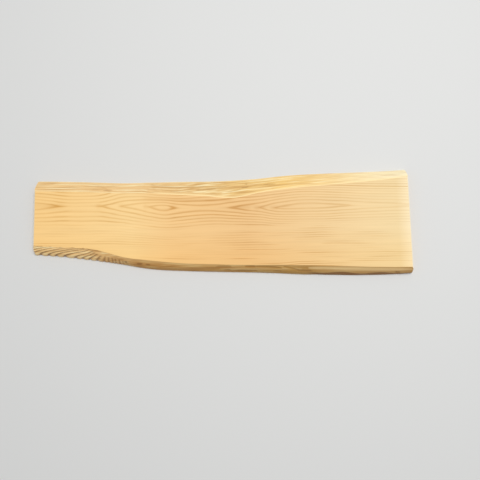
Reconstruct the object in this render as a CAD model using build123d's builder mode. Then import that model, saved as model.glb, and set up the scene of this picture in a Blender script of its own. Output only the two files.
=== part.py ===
from build123d import *
import os
from math import sqrt

# A live-edge softwood plank: a slab sawn through and through from a log, its bark taken off, both faces
# planed and both ends cut square. It lies flat with its narrower show face up: +X along the length,
# +Y across the width, +Z up, origin in the middle of the underside. All sizes are in millimetres.

length = 1500
thickness = 38
upper_edge_radius = 220
lower_edge_radius = 46
face_end_chamfer = 4
underside_end_chamfer = 1.5
face_arris_radius = 2
trim_allowance = 10

# The log's outline where it was measured, with the place of each row as a share of the length. The four
# widths are taken square to the length from one straight line: to the upper live edge on the underside and
# on the show face, and to the lower live edge on the show face and on the underside.
stations = [
    (0.00, 197, 148, 71, 106),
    (0.10, 192, 143, 83, 121),
    (0.18, 186, 137, 97, 138),
    (0.24, 182, 132, 124, 153),
    (0.30, 183, 131, 138, 170),
    (0.40, 183, 120, 155, 183),
    (0.48, 182, 110, 161, 189),
    (0.53, 184, 104, 165, 192),
    (0.58, 187, 117, 167, 195),
    (0.65, 196, 133, 169, 201),
    (0.75, 203, 145, 175, 211),
    (0.88, 206, 159, 184, 217),
    (1.00, 213, 176, 189, 213),
]


def bark_side(underside_width, face_width, radius, height):
    """Width of the round side of the log at one height, on a circle through its two sawn lines."""
    slope_in = underside_width - face_width
    half_chord = sqrt(slope_in**2 + thickness**2) / 2
    to_centre = sqrt(radius**2 - half_chord**2) / (2 * half_chord)
    centre_width = (underside_width + face_width) / 2 - thickness * to_centre
    centre_height = thickness / 2 - slope_in * to_centre
    return centre_width + sqrt(radius**2 - (height - centre_height) ** 2)


rough_length = length + 2 * trim_allowance

with BuildPart() as slab:
    # The outline at the underside, at mid thickness and at the show face, lofted upwards.
    for height in (0, thickness / 2, thickness):
        upper_line = []
        lower_line = []
        for share, upper_under, upper_face, lower_face, lower_under in stations:
            along = (share - 0.5) * rough_length
            upper_width = bark_side(upper_under, upper_face, upper_edge_radius, height)
            lower_width = bark_side(lower_under, lower_face, lower_edge_radius, height)
            upper_line.append((along, upper_width))
            lower_line.append((along, -lower_width))
        with BuildSketch(Plane.XY.offset(height)):
            with BuildLine():
                Spline(lower_line)
                Line(lower_line[-1], upper_line[-1])
                Spline(upper_line[::-1])
                Line(upper_line[0], lower_line[0])
            make_face()
    loft()

    # The show face's two long edges are eased before the ends are cut.
    show_face = slab.faces().sort_by(Axis.Z)[-1]
    long_arrises = show_face.edges().sort_by(Axis.Y)
    fillet([long_arrises[0], long_arrises[-1]], face_arris_radius)

    # Each end is sawn square to the finished length, then chamfered along the show face and the underside.
    for end in (-1, 1):
        end_plane = Plane((end * length / 2, 0, 0), z_dir=(end, 0, 0))
        face_line = end * (length / 2 - face_end_chamfer)
        face_bevel = Plane((face_line, 0, thickness), z_dir=(end, 0, 1))
        underside_line = end * (length / 2 - underside_end_chamfer)
        underside_bevel = Plane((underside_line, 0, 0), z_dir=(end, 0, -1))
        split(bisect_by=end_plane, keep=Keep.BOTTOM)
        split(bisect_by=face_bevel, keep=Keep.BOTTOM)
        split(bisect_by=underside_bevel, keep=Keep.BOTTOM)

with BuildPart() as plank:
    with Locations((0, -slab.part.bounding_box().center().Y, 0)):
        add(slab.part)

plank.part.label = "plank"
os.makedirs("parts", exist_ok=True)
export_step(plank.part, "parts/plank.step")
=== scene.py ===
from math import exp, radians, tau

import bmesh
import bpy
import numpy as np
from mathutils import Matrix, Vector, noise
from mathutils.bvhtree import BVHTree


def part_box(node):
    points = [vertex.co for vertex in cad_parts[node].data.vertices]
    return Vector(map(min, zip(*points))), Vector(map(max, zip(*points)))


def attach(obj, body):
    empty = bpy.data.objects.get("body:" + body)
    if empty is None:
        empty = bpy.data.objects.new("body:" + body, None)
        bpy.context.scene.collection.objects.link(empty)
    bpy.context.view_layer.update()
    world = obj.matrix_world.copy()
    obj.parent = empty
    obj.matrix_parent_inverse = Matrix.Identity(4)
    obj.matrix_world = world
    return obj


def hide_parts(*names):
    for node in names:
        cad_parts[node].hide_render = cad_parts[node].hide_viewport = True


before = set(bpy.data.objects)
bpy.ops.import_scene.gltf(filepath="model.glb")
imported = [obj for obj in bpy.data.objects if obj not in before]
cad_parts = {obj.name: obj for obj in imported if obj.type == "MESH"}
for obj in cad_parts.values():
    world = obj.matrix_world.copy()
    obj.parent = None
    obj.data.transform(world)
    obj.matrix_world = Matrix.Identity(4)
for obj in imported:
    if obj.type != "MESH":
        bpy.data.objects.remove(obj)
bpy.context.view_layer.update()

# The plank is one piece of pale softwood, a slab sawn through and through from a log. Its faces are planed,
# its ends are cut square with their edges chamfered, and its long sides are the outside of the log, debarked
# by hand. It is drawn as a fine lattice that follows the solid and takes the relief of the two live edges.
MM = 0.001
low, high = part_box("plank")
length = (high.x - low.x) / MM
thickness = (high.z - low.z) / MM
face_end_chamfer = 4
underside_end_chamfer = 1.5
lattice_step = 4
columns = 46
levels = 34
arris_crowding = 1.6
skin = 0.02
most_lean = 2.4
hard_edge = radians(30)

# Places along the plank, in mm: one every step, and one more where each end's small chamfer starts.
places = [step * lattice_step - length / 2 for step in range(round(length / lattice_step) + 1)]
places.insert(1, underside_end_chamfer - length / 2)
places.insert(-1, length / 2 - underside_end_chamfer)

lattice = bmesh.new()
bmesh.ops.create_cube(lattice, size=1)
for axis, cells in ((0, len(places) - 1), (1, columns), (2, levels)):
    along_axis = [
        edge
        for edge in lattice.edges
        if abs(edge.verts[0].co[axis] - edge.verts[1].co[axis]) > 0.5
    ]
    bmesh.ops.subdivide_edges(lattice, edges=along_axis, cuts=cells - 1, use_grid_fill=True)

solid = bmesh.new()
solid.from_mesh(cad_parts["plank"].data)
bmesh.ops.remove_doubles(solid, verts=solid.verts, dist=0.001 * MM)
solid_surface = BVHTree.FromBMesh(solid)
solid.free()


def side_of_solid(along, height, side):
    """Where the side of the solid lies, in mm from the middle line, at one place along and one height."""
    start = Vector((along * MM, side * (high.y - low.y), height * MM))
    hit = solid_surface.ray_cast(start, Vector((0, -side, 0)))[0]
    return hit.y / MM


def level_height(along, level):
    """Height of one lattice level: closer together near the show face, and inside the chamfers at an end."""
    from_end = length / 2 - abs(along)
    bottom = skin + max(0, underside_end_chamfer - from_end)
    top = thickness - skin - max(0, face_end_chamfer - from_end)
    return bottom + (top - bottom) * (1 - (1 - level / levels) ** arris_crowding)


# The live edges are the wood just under the bark. The upper one is broad and flat, with long low ridges that
# the drawknife left. The lower one is steeper: slanting ripples at the narrow end, long hollows beyond them.
# All relief is cut inwards, so the solid's outline holds.
UPPER, LOWER = 1, -1

# Knife marks, hollows and stains: the side, start and end of each (mm along, mm down from the show face), its
# half width, its depth and its tint, from -1 for pale to 1 for bark brown.
marks = [
    (UPPER, -475, 14, -440, 17, 2, 0.8, 0.5),
    (UPPER, -285, 46, -155, 40, 2.5, 1.0, 0.3),
    (UPPER, -205, 18, -125, 21, 2.5, 1.2, 0.2),
    (UPPER, -155, 45, -65, 54, 2.5, 1.2, 0.2),
    (UPPER, -100, 31, -25, 43, 2.5, 1.2, 0.25),
    (UPPER, -65, 38, 30, 62, 2.5, 1.2, 0.2),
    (UPPER, 20, 29, 80, 41, 2.5, 1.2, 0.2),
    (UPPER, 80, 46, 107, 42, 3, 1.4, 0.4),
    (UPPER, 95, 58, 105, 58, 3, 1.2, 0.4),
    (UPPER, 168, 40, 220, 33, 3, 1.2, 0.3),
    (UPPER, -200, 30, -20, 20, 5, 0, -0.15),
    (UPPER, 110, 25, 200, 15, 6, 0, -0.5),
    (UPPER, 235, 52, 290, 50, 6, 0, -0.5),
    (LOWER, -732, 2, -728, 3, 4, 1.5, 1.0),
    (LOWER, -530, 3, -478, 3, 3, 0.8, 0.45),
    (LOWER, -390, 23, -380, 22, 4, 0.5, 0.9),
    (LOWER, -340, 23, -318, 20, 4, 0.5, 0.9),
    (LOWER, -305, 21, -287, 20, 3, 0.4, 0.8),
    (LOWER, -290, 40, -30, 24, 5, 0.8, 0.1),
    (LOWER, -25, 13, 32, 10, 3.5, 1.8, 0.5),
    (LOWER, 5, 30, 32, 29, 3.5, 1.8, 0.5),
    (LOWER, -10, 19, 310, 17, 4.5, 0, -0.22),
    (LOWER, 40, 32, 135, 31, 4, 2.0, 0.5),
    (LOWER, 88, 9, 127, 9, 3.5, 1.8, 0.5),
    (LOWER, 135, 9, 230, 16, 3.5, 1.8, 0.5),
    (LOWER, 200, 33, 230, 33, 4, 1.8, 0.5),
    (LOWER, 240, 10, 300, 24, 3, 1.5, 0.4),
    (LOWER, 295, 26, 350, 26, 4, 1.8, 0.5),
    (LOWER, 340, 12, 750, 11, 8, 0, -0.4),
    (LOWER, 680, 26, 700, 31, 5, 2.5, 0.6),
]
# Where each ripple of the narrow end starts on the underside line, in mm along.
ripple_starts = [
    -900, -865, -830, -797, -765, -731, -698, -669, -634, -590, -562, -534, -503, -474, -456, -437,
    -427, -410, -396, -383,
]
# Their depth in mm, how far they sweep along for each mm inwards, and how far in they have turned.
ripple_depth = 4
ripple_slant = 5
ripple_turn = 16


def fade(value, start, end):
    """0 at start, 1 at end and smooth between."""
    share = np.clip((value - start) / (end - start), 0, 1)
    return share * share * (3 - 2 * share)


def waves(along, across, along_size, across_size, seed):
    """Smooth noise from 0 to 1 whose waves have the given sizes in mm, at each place across."""
    return np.array([
        0.5 + 0.5 * noise.noise(Vector((along / along_size, place / across_size, seed))) for place in across
    ])


def ripples(along, inward):
    """Grooves that climb from the underside, then sweep towards the wide end: their shape and strength."""
    climb = ripple_slant * inward**2 / (inward + ripple_turn) * (1 - fade(along, -560, -430))
    phase = np.interp(along - climb, ripple_starts, range(len(ripple_starts)))
    groove = (0.5 + 0.5 * np.cos(tau * phase)) ** 1.7
    reach = 1.2 - 0.65 * fade(along, -560, -480)
    strength = (1 - fade(inward / inward[-1], reach - 0.2, reach + 0.1)) * (1 - fade(along, -410, -365))
    strength *= 1 - 0.45 * fade(along, -530, -470)
    return groove, strength


# Depths in mm: the upper edge's ridges, the lower edge's hollows, and the step below the line where the wide
# end's painted shade starts.
ridge_depth, fine_ridge_depth = 1.8, 0.6
hollow_depth, fine_hollow_depth = 1.2, 0.4
step_depth = 2


def relief(along, down, inward, side):
    """Depth in mm and tint at the places down one live edge, at one place along the plank; the tint holds
    stains, painted highlight and painted shade.
    """
    depth = np.zeros_like(down)
    tint = np.zeros_like(down)
    for mark_side, start, start_down, end, end_down, half_width, mark_depth, mark_tint in marks:
        if mark_side == side and start - 20 < along < end + 20:
            run, drop = end - start, end_down - start_down
            share = ((along - start) * run + (down - start_down) * drop) / (run**2 + drop**2)
            share = np.clip(share, 0, 1)
            off = np.hypot(along - start - share * run, down - start_down - share * drop)
            taper = 1 - 0.65 * (2 * share - 1) ** 4
            closeness = np.exp(-((off / (half_width * taper)) ** 2))
            depth += mark_depth * closeness
            tint += mark_tint * closeness
    if side == UPPER:
        slanted = down - 0.1 * max(0, along + 250)
        strength = 0.75 - 0.2 * fade(along, -250, -150) - 0.25 * fade(along, 100, 300)
        strength += 0.28 * exp(-(((along + 20) / 200) ** 2))
        ridges = waves(along, slanted, along_size=190, across_size=11, seed=0.4)
        depth += strength * ridge_depth * ridges**1.5
        depth += fine_ridge_depth * waves(along, slanted, along_size=80, across_size=4.5, seed=3.9) * strength
        # Painted highlight: a pale line along the arris and another along the back edge, where the rounded
        # edges catch the light.
        arris_highlight = 0.4 + 0.7 * fade(along, -300, -230) * (1 - 0.6 * fade(along, 100, 600))
        back_edge_highlight = 0.8 * (1 - fade(along, 100, 260))
        tint -= arris_highlight * np.exp(-((down / 7) ** 2)) + back_edge_highlight * np.exp(-(((down[0] - down) / 5) ** 2))
    else:
        groove, strength = ripples(along, inward)
        strength = strength * (0.6 + 0.4 * waves(along, down, along_size=60, across_size=14, seed=2.1))
        depth += ripple_depth * groove * strength
        # Painted shade and highlight: the ripples' grooves are tinted brown and, at the narrow end, the
        # ridges between them pale.
        tint += (1.7 * groove - 0.55 * (1 - fade(along, -540, -440))) * strength
        # Painted highlight: a pale band along the top of the lower edge over its middle stretch.
        tint -= 0.2 * np.exp(-((down / 10) ** 2)) * fade(along, -480, -400) * (1 - fade(along, 250, 350))
        # Painted shade: at the wide end, the part of the lower edge below this wavy line, where it turns
        # under, is stepped in and tinted brown.
        line = 30 + 4 * np.cos(tau * (along - 390) / 160)
        below_line = fade(down, line - 1, line + 6) * fade(along, 320, 380)
        depth += step_depth * below_line
        tint += 0.9 * below_line
        hollows = waves(along, down, along_size=62, across_size=15, seed=1.7) * fade(along, -420, 60)
        depth += hollow_depth * hollows
        depth += fine_hollow_depth * waves(along, down, along_size=34, across_size=5, seed=8.2)
    return depth * (0.25 + 0.75 * fade(down, 0, 6)), tint


# One row of side points for each place along the plank, from the underside to the show face.
side_rows = {}
for station, along in enumerate(places):
    probe = max(-length / 2 + skin, min(length / 2 - skin, along))
    for side in (UPPER, LOWER):
        heights = np.array([level_height(along, level) for level in range(levels + 1)])
        widths = np.array([side_of_solid(probe, height, side) for height in heights])
        steps = np.hypot(np.diff(widths), np.diff(heights))
        down = np.append(np.cumsum(steps[::-1])[::-1], 0)
        lean = np.minimum(np.hypot(np.gradient(widths, heights), 1), most_lean)
        depths, tints = relief(along, down, np.abs(widths - widths[0]), side)
        side_rows[station, side] = (heights, widths - side * depths * lean, tints)

tint_layer = lattice.verts.layers.float.new("tint")
for vert in lattice.verts:
    station = round((vert.co.x + 0.5) * (len(places) - 1))
    level = round((vert.co.z + 0.5) * levels)
    across = vert.co.y + 0.5
    heights, upper_side, upper_tints = side_rows[station, UPPER]
    lower_side, lower_tints = side_rows[station, LOWER][1:]
    width = lower_side[level] + across * (upper_side[level] - lower_side[level])
    vert[tint_layer] = upper_tints[level] if across > 0.5 else lower_tints[level]
    vert.co = (places[station] * MM, width * MM, heights[level] * MM)

PLANED, LIVE_EDGE, END_GRAIN, CHAMFER = range(4)
lattice.normal_update()
chamfer_zone = (length / 2 - face_end_chamfer) * MM
for face in lattice.faces:
    face.smooth = True
    if abs(face.normal.x) > 0.95:
        face.material_index = END_GRAIN
    elif abs(face.normal.z) > 0.999:
        face.material_index = PLANED
    elif abs(face.calc_center_median().x) > chamfer_zone and abs(face.normal.x) > 0.6:
        face.material_index = CHAMFER
    else:
        face.material_index = LIVE_EDGE
for edge in lattice.edges:
    if len({face.material_index for face in edge.link_faces}) > 1 and edge.calc_face_angle(0) > hard_edge:
        edge.smooth = False

plank_mesh = bpy.data.meshes.new("plank")
lattice.to_mesh(plank_mesh)
lattice.free()
plank = bpy.data.objects.new("softwood_plank", plank_mesh)
bpy.context.collection.objects.link(plank)
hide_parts("plank")
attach(plank, "root")


# The timber is a pale ring-banded softwood, freshly planed and left bare. One ring figure runs through the
# whole solid, so the flames on the show face, the streaks on the live edges and the arcs on the ends belong
# to the same rings: pale early wood that darkens to a thin honey-brown late-wood line, then starts again.
def linear(hex_colour):
    """A hex sRGB colour as linear RGBA."""
    channels = [int(hex_colour[i : i + 2], 16) / 255 for i in (1, 3, 5)]
    return [c / 12.92 if c <= 0.04045 else ((c + 0.055) / 1.055) ** 2.4 for c in channels] + [1]


def add(tree, kind, *inputs, **settings):
    """Adds one node with its settings and returns its first output. The inputs fill its sockets in order: a
    number or colour, another node's output to link, or None to leave a socket as it is."""
    node = tree.nodes.new(kind)
    for name, setting in settings.items():
        setattr(node, name, setting)
    for socket, value in zip([socket for socket in node.inputs if socket.enabled], inputs):
        if isinstance(value, bpy.types.NodeSocket):
            tree.links.new(value, socket)
        elif value is not None:
            socket.default_value = value
    return next((socket for socket in node.outputs if socket.enabled), None)


# The lines that steer the figure. Most go by mm along the plank: the figure's middle line in mm across, the
# ring number on that line, how much closer together the rings lie below it and above it, how dark they are
# near it ("accent") and far from it ("clearness"), and how golden the wood is inside the flames ("glow") and
# along the upper edge ("rim"). "rings" gives the rings passed by mm from the middle line. "band" shades one
# ring, from one late-wood line to the next.
steering = {
    "middle": [
        (-750, 91.5), (-640, 87.5), (-555, 85.5), (-395, 81.5), (-290, 77.5), (-235, 74.5), (-180, 70.5),
        (-70, 66.5), (35, 66), (150, 62.5), (215, 61.5), (330, 66.5), (430, 65.5), (515, 64.5), (750, 61.5),
    ],
    "crown": [
        (-750, 0.3), (-700, 0.6), (-640, 1), (-560, 1.1), (-485, 1), (-440, 0.55), (-395, 0), (-345, -0.45),
        (-290, -1), (-230, -1.5), (-180, -1), (-120, -0.6), (-70, -0.5), (-20, -0.6), (35, -1), (90, -1.45),
        (150, -2), (215, -3), (270, -3.4), (330, -3.5), (400, -3.45), (515, -3), (600, -2.6), (750, -2.2),
    ],
    "below": [
        (-750, 1), (-640, 0.93), (-560, 0.9), (-470, 0.95), (-395, 1), (-340, 0.93), (-240, 0.85),
        (-160, 0.93), (-60, 1.12), (35, 1.18), (150, 1.35), (235, 1.38), (330, 1.2), (430, 1.22),
        (515, 1.2), (750, 1.1),
    ],
    "above": [
        (-750, 1.3), (-690, 1.33), (-640, 1.38), (-560, 1.42), (-470, 1.3), (-395, 1.05), (-320, 1.2),
        (-235, 1.6), (-180, 1.4), (-100, 1.05), (-20, 0.92), (60, 0.92), (110, 0.96), (200, 0.98), (330, 1),
        (430, 1.05), (515, 1.1), (750, 1.15),
    ],
    "rings": [
        (0, 0), (5, 0.18), (12, 0.48), (20, 0.92), (27, 1.33), (35, 1.8), (47, 2.6), (58, 3.35), (68, 4.1),
        (86, 5.5), (104, 7.1), (140, 10.8), (200, 17.6), (320, 31.5),
    ],
    "band": [(0, 1), (0.1, 0.6), (0.22, 0.12), (0.5, 0), (0.7, 0.12), (0.86, 0.6), (1, 1)],
    "accent": [
        (-750, 0.4), (-690, 0.6), (-640, 0.85), (-590, 0.45), (-500, 0.5), (-470, 0.8), (-400, 0.65),
        (-290, 0.65), (-235, 0.65), (-180, 1), (-100, 0.95), (0, 1), (40, 1.1), (90, 1.05), (150, 0.8),
        (215, 0.72), (270, 0.65), (340, 0.5), (390, 0.6), (450, 0.7), (510, 0.5), (580, 0.35), (750, 0.35),
    ],
    "glow": [
        (-750, 0.15), (-700, 0.18), (-650, 0.3), (-610, 0), (-510, 0), (-490, 0.3), (-470, 0), (-420, 0),
        (-400, 0.2), (-385, 0), (-320, 0), (-305, 0.25), (-285, 0), (-215, 0), (-195, 0.3), (-170, 0),
        (-60, 0), (0, 0.1), (60, 0.25), (105, 0.2), (120, 0.05), (140, 0.3), (160, 0.05), (185, 0.05),
        (205, 0.3), (235, 0), (750, 0),
    ],
    "clearness": [(-750, 0.95), (-500, 0.7), (-300, 0.7), (150, 1.35), (330, 1.75), (450, 1.3), (750, 1.15)],
    "rim": [(-750, 0), (-330, 0), (-290, 0.25), (-60, 0.25), (20, 0.25), (70, 0), (750, 0)],
}
figure_reach = 95
ring_rise = 5.5
wander_reach, wander_size = 2, (120, 30, 30)
quiver_reach, quiver_size = 0.12, (55, 7, 7)
patch_size = (220, 30, 30)
glow_width = 9
rim_place, rim_width = 32, 6
# Softwood fibre is finer than the picture can show, so its lines are drawn 2 mm apart.
fibre_size, streak_size = (130, 2, 2), (260, 9, 9)

figure = bpy.data.node_groups.new("growth_rings", "ShaderNodeTree")
for socket_name in ("Late wood", "Fibre", "Streak"):
    figure.interface.new_socket(socket_name, in_out="OUTPUT", socket_type="NodeSocketFloat")
figure.interface.new_socket("Place", in_out="OUTPUT", socket_type="NodeSocketVector")
line = {}
for name, points in steering.items():
    line[name] = add(figure, "ShaderNodeFloatCurve")
    mapping = line[name].node.mapping
    mapping.use_clip = False
    knots = mapping.curves[0].points
    knots[0].location = points[0]
    knots[1].location = points[-1]
    for point in points[1:-1]:
        knots.new(*point)
    for knot in knots:
        knot.handle_type = "AUTO_CLAMPED"
    mapping.update()

MATH, VECTOR = "ShaderNodeMath", "ShaderNodeVectorMath"
object_place = add(figure, "ShaderNodeTexCoord").node.outputs["Object"]
place = add(figure, VECTOR, object_place, 1 / MM, operation="SCALE")
along, across, height = add(figure, "ShaderNodeSeparateXYZ", place).node.outputs
for name in ("middle", "crown", "below", "above", "accent", "glow", "clearness", "rim"):
    figure.links.new(along, line[name].node.inputs["Value"])
# Deeper in the slab the log's middle is nearer, so the figure is narrower and its crowns are lower.
depth = add(figure, "ShaderNodeMapRange", height, thickness, 0, 0, 1)
narrowing = add(figure, MATH, depth, 0.25, 1, operation="MULTIPLY_ADD")
wander_place = add(figure, VECTOR, place, wander_size, operation="DIVIDE")
wander = add(figure, "ShaderNodeTexNoise", wander_place, 1, 1)
wander = add(figure, MATH, wander, 2 * wander_reach, -wander_reach, operation="MULTIPLY_ADD")
off = add(figure, MATH, add(figure, MATH, across, line["middle"], operation="SUBTRACT"), wander)
off = add(figure, MATH, off, narrowing, operation="MULTIPLY")
reach = add(figure, MATH, add(figure, MATH, off, figure_reach, operation="DIVIDE"), 2, operation="POWER")
near = add(figure, MATH, add(figure, MATH, reach, -1, operation="MULTIPLY"), operation="EXPONENT")
is_above = add(figure, MATH, off, 0, operation="GREATER_THAN")
crowding = add(figure, "ShaderNodeMix", is_above, line["below"], line["above"])
extra = add(figure, MATH, add(figure, MATH, crowding, -1), near, operation="MULTIPLY")
distance = add(figure, MATH, off, operation="ABSOLUTE")
figure.links.new(
    add(figure, MATH, distance, extra, distance, operation="MULTIPLY_ADD"), line["rings"].node.inputs["Value"]
)
crown_depth = add(figure, MATH, depth, -0.5, 1, operation="MULTIPLY_ADD")
crown = add(figure, MATH, line["crown"], near, operation="MULTIPLY")
crown = add(figure, MATH, crown, crown_depth, operation="MULTIPLY")
quiver_place = add(figure, VECTOR, place, quiver_size, operation="DIVIDE")
quiver = add(figure, "ShaderNodeTexNoise", quiver_place, 1, 1)
quiver = add(figure, MATH, quiver, 2 * quiver_reach, -quiver_reach, operation="MULTIPLY_ADD")
layers = add(figure, MATH, depth, -thickness / ring_rise, quiver, operation="MULTIPLY_ADD")
ring = add(figure, MATH, add(figure, MATH, line["rings"], crown), layers)
figure.links.new(add(figure, MATH, ring, operation="FRACT"), line["band"].node.inputs["Value"])
# No two rings are equally dark. They stand out most near the figure's middle line and above it, and below it
# they come and go.
ring_number = add(figure, MATH, ring, operation="ROUND")
ring_noise = add(figure, "ShaderNodeTexWhiteNoise", ring_number, noise_dimensions="1D").node.outputs["Value"]
clear_zone = add(figure, "ShaderNodeMapRange", near, 0.5, 0.75, 0, 1)
ring_spread = add(figure, MATH, clear_zone, 0.5, -0.8, operation="MULTIPLY_ADD")
ring_weight = add(figure, MATH, ring_noise, ring_spread, 1, operation="MULTIPLY_ADD")
most_weight = 0.85
patch_place = add(figure, VECTOR, place, patch_size, operation="DIVIDE")
patch = add(figure, "ShaderNodeTexNoise", patch_place, 1, 1)
patch = add(figure, "ShaderNodeMapRange", patch, 0.42, 0.62, 0, most_weight)
off_weight = add(figure, "ShaderNodeMix", is_above, patch, most_weight)
far_weight = add(figure, MATH, off_weight, line["clearness"], operation="MULTIPLY")
near_weight = add(figure, "ShaderNodeMix", clear_zone, far_weight, line["accent"])
weight = add(figure, MATH, ring_weight, near_weight, operation="MULTIPLY")
late_wood = add(figure, MATH, line["band"], weight, operation="MULTIPLY")
# Inside the tips of the figure's flames the wood is golden all over.
core = add(figure, MATH, add(figure, MATH, off, glow_width, operation="DIVIDE"), 2, operation="POWER")
core = add(figure, MATH, add(figure, MATH, core, -1, operation="MULTIPLY"), operation="EXPONENT")
late_wood = add(figure, MATH, core, line["glow"], late_wood, operation="MULTIPLY_ADD")
# Two rings run together in one brown line just inside the upper edge.
rim = add(figure, MATH, add(figure, MATH, off, -rim_place), rim_width, operation="DIVIDE")
rim = add(figure, MATH, add(figure, MATH, rim, 2, operation="POWER"), -1, operation="MULTIPLY")
rim = add(figure, MATH, rim, operation="EXPONENT")
late_wood = add(figure, MATH, rim, line["rim"], late_wood, operation="MULTIPLY_ADD")
fibre_place = add(figure, VECTOR, place, fibre_size, operation="DIVIDE")
fibre = add(figure, "ShaderNodeTexNoise", fibre_place, 1, 3, 0.55)
streak_place = add(figure, VECTOR, place, streak_size, operation="DIVIDE")
streak = add(figure, "ShaderNodeTexNoise", streak_place, 1, 2, 0.5)
add(figure, "NodeGroupOutput", late_wood, fibre, streak, place)


def timber(name):
    """A new plank material that holds the ring figure: its tree, its shader and the figure's outputs."""
    material = bpy.data.materials.new(name)
    material.use_nodes = True
    plank_mesh.materials.append(material)
    tree = material.node_tree
    shader = tree.nodes["Principled BSDF"]
    shader.inputs["Specular IOR Level"].default_value = 0.25
    return tree, shader, add(tree, "ShaderNodeGroup", node_tree=figure).node.outputs


# Planed softwood: a smooth, dry, satin surface with no finish on it. Honey at the narrow end, warmer in the
# middle and cream at the wide end; the paling towards the wide end is partly painted sheen, most in its last
# 50 mm.
tree, shader, grain = timber("planed_softwood")
along, across, height = add(tree, "ShaderNodeSeparateXYZ", grain["Place"]).node.outputs
share = add(tree, "ShaderNodeMapRange", along, -length / 2, length / 2)
early = add(tree, "ShaderNodeValToRGB", share)
tones = [
    (-750, "#fbd08a"), (-360, "#fad595"), (-200, "#f4c98a"), (100, "#edc286"), (700, "#f0d5a1"),
    (750, "#fbe6bc"),
]
ramp = early.node.color_ramp
for number, (place_along, colour) in enumerate(tones):
    position = (place_along + length / 2) / length
    element = ramp.elements[number] if number < 2 else ramp.elements.new(position)
    element.position = position
    element.color = linear(colour)
MIX = {"data_type": "RGBA"}
late_colour = add(tree, "ShaderNodeMix", 1, early, linear("#ddc79e"), blend_type="MULTIPLY", **MIX)
body = add(tree, "ShaderNodeMix", grain["Late wood"], early, late_colour, **MIX)
warm_share = add(tree, "ShaderNodeMapRange", across, -20, -130, 0, 1)
body = add(tree, "ShaderNodeMix", warm_share, body, linear("#fff9ec"), blend_type="MULTIPLY", **MIX)
fine = add(tree, MATH, grain["Fibre"], grain["Streak"])
fine = add(tree, MATH, fine, 0.11, 0.89, operation="MULTIPLY_ADD")
tree.links.new(add(tree, VECTOR, body, fine, operation="SCALE"), shader.inputs["Base Color"])
gloss = add(tree, MATH, grain["Late wood"], -0.1, 0.58, operation="MULTIPLY_ADD")
tree.links.new(gloss, shader.inputs["Roughness"])
tree.links.new(add(tree, "ShaderNodeBump", 0.25, 0.2 * MM, None, grain["Fibre"]), shader.inputs["Normal"])

# Debarked live edge: the drawknifed outside of the log, tan and streaky, pale in some patches, brown where
# bark is left in a hollow. Its tint also paints light: pale highlight along the arrises, the back edge and
# the ripple ridges, and brown shade in the ripple grooves and where the lower edge turns under at the wide
# end.
tree, shader, grain = timber("debarked_live_edge")
along, across, height = add(tree, "ShaderNodeSeparateXYZ", grain["Place"]).node.outputs
share = add(tree, "ShaderNodeMapRange", along, -length / 2, length / 2)
base = add(tree, "ShaderNodeValToRGB", share)
lower_shade_and_bark = add(tree, "ShaderNodeValToRGB", share)
tones = [
    (-750, "#f6ce8f"), (-350, "#f1c88c"), (-50, "#e8c282"), (250, "#f3ca7c"), (400, "#f7d491"),
    (750, "#fff2ca"),
]
lower_shade_and_bark_tones = [(-550, "#fffcf6"), (-330, "#ceb998"), (-100, "#d6c3a5"), (300, "#bfb09a"), (750, "#bc9a70")]
for ramp_node, places_and_colours in ((base, tones), (lower_shade_and_bark, lower_shade_and_bark_tones)):
    ramp = ramp_node.node.color_ramp
    for number, (place_along, colour) in enumerate(places_and_colours):
        position = (place_along + length / 2) / length
        element = ramp.elements[number] if number < 2 else ramp.elements.new(position)
        element.position = position
        element.color = linear(colour)
is_upper = add(tree, MATH, across, 0, operation="GREATER_THAN")
rise = add(tree, "ShaderNodeMapRange", along, -320, -180, 0, -0.1)
rise = add(tree, MATH, is_upper, rise, operation="MULTIPLY")
slanted = add(tree, MATH, along, rise, across, operation="MULTIPLY_ADD")
slanted = add(tree, "ShaderNodeCombineXYZ", along, slanted, height)
long_size, short_size = (260, 8, 8), (90, 4, 4)
long_place = add(tree, VECTOR, slanted, long_size, operation="DIVIDE")
long_streaks = add(tree, "ShaderNodeTexNoise", long_place, 1, 1)
short_place = add(tree, VECTOR, slanted, short_size, operation="DIVIDE")
short_streaks = add(tree, "ShaderNodeTexNoise", short_place, 1, 1)
streaks = add(tree, "ShaderNodeMix", 0.35, long_streaks, short_streaks)
most_dark = add(tree, "ShaderNodeMapRange", along, 200, 260, 0.6, 0.25)
darker = add(tree, "ShaderNodeMapRange", streaks, 0.49, 0.37, 0, most_dark)
body = add(tree, "ShaderNodeMix", darker, base, linear("#c08e50"), **MIX)
paler = add(tree, "ShaderNodeMapRange", streaks, 0.53, 0.62, 0, 0.7)
body = add(tree, "ShaderNodeMix", paler, body, linear("#ffeebc"), **MIX)
late_share = add(tree, MATH, grain["Late wood"], 0.3, operation="MULTIPLY")
body = add(tree, "ShaderNodeMix", late_share, body, linear("#c8965a"), **MIX)
# The lower edge is multiplied darker and browner over most of its length: partly the brown under-bark it
# kept, partly painted shade on the side turned away from the lamp.
is_lower = add(tree, MATH, across, 0, operation="LESS_THAN")
body = add(tree, "ShaderNodeMix", is_lower, body, lower_shade_and_bark, blend_type="MULTIPLY", **MIX)
tint = add(tree, "ShaderNodeAttribute", attribute_name="tint").node.outputs["Fac"]
# Negative tint is pale, for patches and painted highlight; positive tint is brown, for bark and painted
# shade.
pale_and_highlight = add(tree, "ShaderNodeMapRange", tint, 0, -1, 0, 1)
body = add(tree, "ShaderNodeMix", pale_and_highlight, body, linear("#ffe3a8"), **MIX)
brown_and_shade = add(tree, "ShaderNodeMapRange", tint, 0, 1, 0, 0.85)
body = add(tree, "ShaderNodeMix", brown_and_shade, body, linear("#80532b"), **MIX)
tree.links.new(body, shader.inputs["Base Color"])
shader.inputs["Roughness"].default_value = 0.6
tree.links.new(add(tree, "ShaderNodeBump", 0.4, 0.6 * MM, None, streaks), shader.inputs["Normal"])

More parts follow.
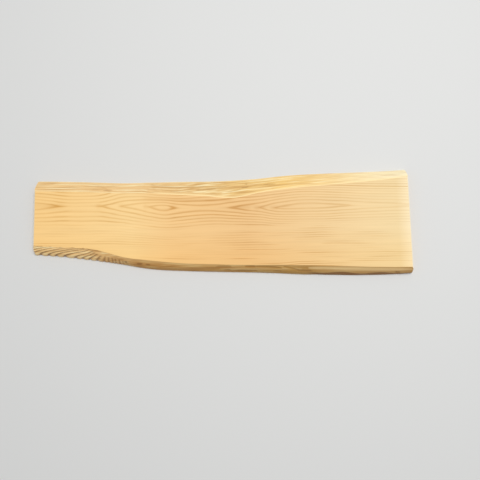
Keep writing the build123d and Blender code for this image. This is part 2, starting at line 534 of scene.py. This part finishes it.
# Sawn end grain: the rings cut across, duller and a little darker, with the saw's fine upright marks.
tree, shader, grain = timber("sawn_end_grain")
speck_size, saw_mark_size = (3, 1.5, 1.5), (30, 1.4, 40)
speck_place = add(tree, VECTOR, grain["Place"], speck_size, operation="DIVIDE")
speck = add(tree, "ShaderNodeTexNoise", speck_place, 1, 3)
body = add(tree, "ShaderNodeMix", speck, linear("#e6bd83"), linear("#f1cf9b"), **MIX)
late_share = add(tree, MATH, grain["Late wood"], 0.8, operation="MULTIPLY")
body = add(tree, "ShaderNodeMix", late_share, body, linear("#b98246"), **MIX)
tree.links.new(body, shader.inputs["Base Color"])
shader.inputs["Roughness"].default_value = 0.75
saw_place = add(tree, VECTOR, grain["Place"], saw_mark_size, operation="DIVIDE")
saw_marks = add(tree, "ShaderNodeTexNoise", saw_place, 1, 1)
tree.links.new(add(tree, "ShaderNodeBump", 0.35, 0.4 * MM, None, saw_marks), shader.inputs["Normal"])

# Chamfered end edge: a thin cream line, painted paler than any other wood on the plank as a highlight where
# the edge catches the light.
tree, shader, grain = timber("chamfer_painted_highlight")
body = add(tree, "ShaderNodeMix", grain["Fibre"], linear("#ffe9c2"), linear("#fff5dc"), **MIX)
tree.links.new(body, shader.inputs["Base Color"])
shader.inputs["Roughness"].default_value = 0.6

# The camera looks almost straight down on the show face, leaned and rolled a little as the photograph is.
camera_place = Vector((70, -270.5, 1925)) * MM
camera_lean = Matrix.Rotation(radians(6.24), 4, "X")
camera_roll = Matrix.Rotation(radians(-1.25), 4, "Z")
camera = bpy.data.objects.new("camera", bpy.data.cameras.new("camera"))
camera.data.sensor_width = 36
camera.data.lens = 36
camera.matrix_world = Matrix.Translation(camera_place) @ camera_lean @ camera_roll
bpy.context.collection.objects.link(camera)
bpy.context.scene.camera = camera

# The floor is plain and pale. The light is soft: an even sky, and one large lamp high up beyond the upper
# live edge, so that edge is as bright as the show face and the lower one is in shade.
floor_mesh = bpy.data.meshes.new("floor")
ground = bmesh.new()
bmesh.ops.create_grid(ground, x_segments=1, y_segments=1, size=10)
ground.to_mesh(floor_mesh)
ground.free()
floor_gap = 0.2 * MM
floor_mesh.transform(Matrix.Translation((0, 0, low.z - floor_gap)))
floor = bpy.data.objects.new("floor", floor_mesh)
bpy.context.collection.objects.link(floor)
floor_paint = bpy.data.materials.new("matt_pale_floor")
floor_paint.use_nodes = True
floor_shader = floor_paint.node_tree.nodes["Principled BSDF"]
floor_shader.inputs["Base Color"].default_value = linear("#dcdcda")
floor_shader.inputs["Roughness"].default_value = 0.9
floor_mesh.materials.append(floor_paint)

lamp = bpy.data.objects.new("softbox", bpy.data.lights.new("softbox", "AREA"))
lamp.data.size = 2.4
lamp.data.energy = 170
lamp.location = (1.0, 1.2, 4.8)
lamp.rotation_euler = lamp.location.to_track_quat("Z", "Y").to_euler()
bpy.context.collection.objects.link(lamp)
world = bpy.data.worlds.new("studio")
world.use_nodes = True
world.node_tree.nodes["Background"].inputs["Color"].default_value = linear("#f6f7f9")
world.node_tree.nodes["Background"].inputs["Strength"].default_value = 0.46
bpy.context.scene.world = world
bpy.context.scene.view_settings.view_transform = "Standard"
